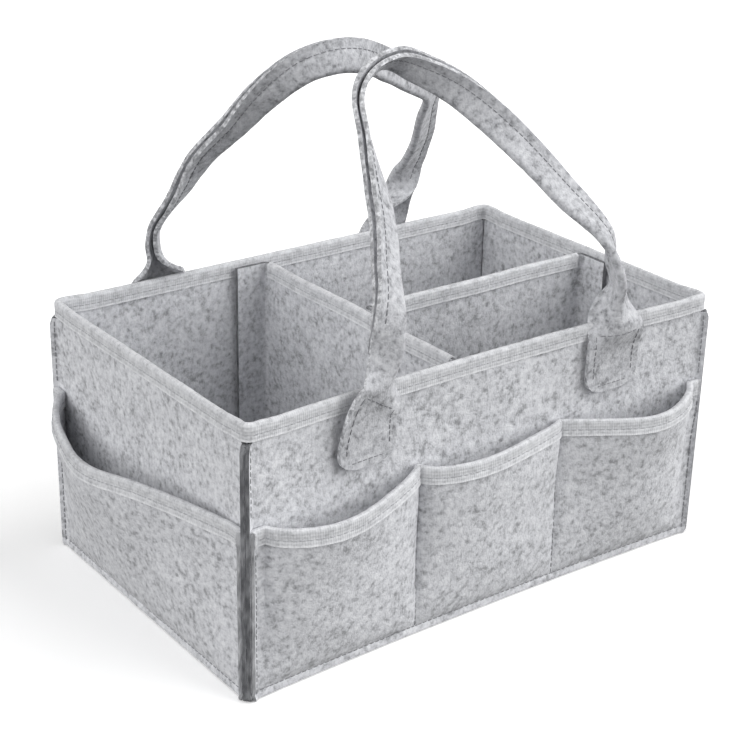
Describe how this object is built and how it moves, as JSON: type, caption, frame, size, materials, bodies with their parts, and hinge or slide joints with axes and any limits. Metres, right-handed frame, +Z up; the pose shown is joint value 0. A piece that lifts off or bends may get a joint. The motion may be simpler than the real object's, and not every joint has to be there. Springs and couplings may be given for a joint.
{
  "type": "diaper caddy",
  "caption": "Open rectangular felt caddy with outside pockets, tape-bound edges, folded strap handles that swing and a lift-out T of dividers, for carrying baby-care things.",
  "frame": {"origin": "middle of the underside, where the caddy rests", "axes": "+X along the length towards the long divider's outer end, +Y from the front to the back, +Z up"},
  "size_m": [0.4172, 0.2838, 0.3568],
  "materials": {
    "wall_felt": "matt needled felt, light heather grey with darker flecks",
    "pocket_felt": "matt needled felt, light heather grey with darker flecks",
    "handle_felt": "matt needled felt, light heather grey with darker flecks",
    "base_felt": "matt needled felt, light heather grey with darker flecks",
    "divider_felt": "matt needled felt, light heather grey with darker flecks",
    "binding_tape": "matt woven tape",
    "hook_tape": "fine nylon hook tape"
  },
  "bodies": {
    "box": {"base_panel": "base_felt", "rim_binding": "binding_tape", "front_wall": "wall_felt", "right_wall": "wall_felt", "back_wall": "wall_felt", "left_wall": "wall_felt", "front_pocket_panel": "pocket_felt", "right_pocket_panel": "pocket_felt", "back_pocket_panel": "pocket_felt", "left_pocket_panel": "pocket_felt", "front_pocket_binding": "binding_tape", "right_pocket_binding": "binding_tape", "back_pocket_binding": "binding_tape", "left_pocket_binding": "binding_tape", "front_handle_left_tab": "handle_felt", "front_handle_right_tab": "handle_felt", "back_handle_left_tab": "handle_felt", "back_handle_right_tab": "handle_felt"},
    "front_handle": {"front_handle": "handle_felt"},
    "back_handle": {"back_handle": "handle_felt"},
    "cross_divider": {"cross_divider": "divider_felt", "cross_divider_binding": "binding_tape", "cross_divider_back_hook_strip": "hook_tape", "cross_divider_front_hook_strip": "hook_tape"},
    "long_divider": {"long_divider": "divider_felt", "long_divider_binding": "binding_tape", "long_divider_inner_hook_strip": "hook_tape", "long_divider_outer_hook_strip": "hook_tape"}
  },
  "joints": [
    {"name": "front_handle_swing", "type": "hinge", "parent": "box", "child": "front_handle", "pos_m": [0, -0.1202, 0.1828], "axis": [1, 0, 0], "range_deg": [0, 168]},
    {"name": "back_handle_swing", "type": "hinge", "parent": "box", "child": "back_handle", "pos_m": [0, 0.1202, 0.1828], "axis": [-1, 0, 0], "range_deg": [0, 168]},
    {"name": "cross_divider_lift", "type": "slide", "parent": "box", "child": "cross_divider", "axis": [0, 0, 1], "range_m": [0, 0.12]},
    {"name": "long_divider_lift", "type": "slide", "parent": "box", "child": "long_divider", "axis": [0, 0, 1], "range_m": [0, 0.12]}
  ]
}
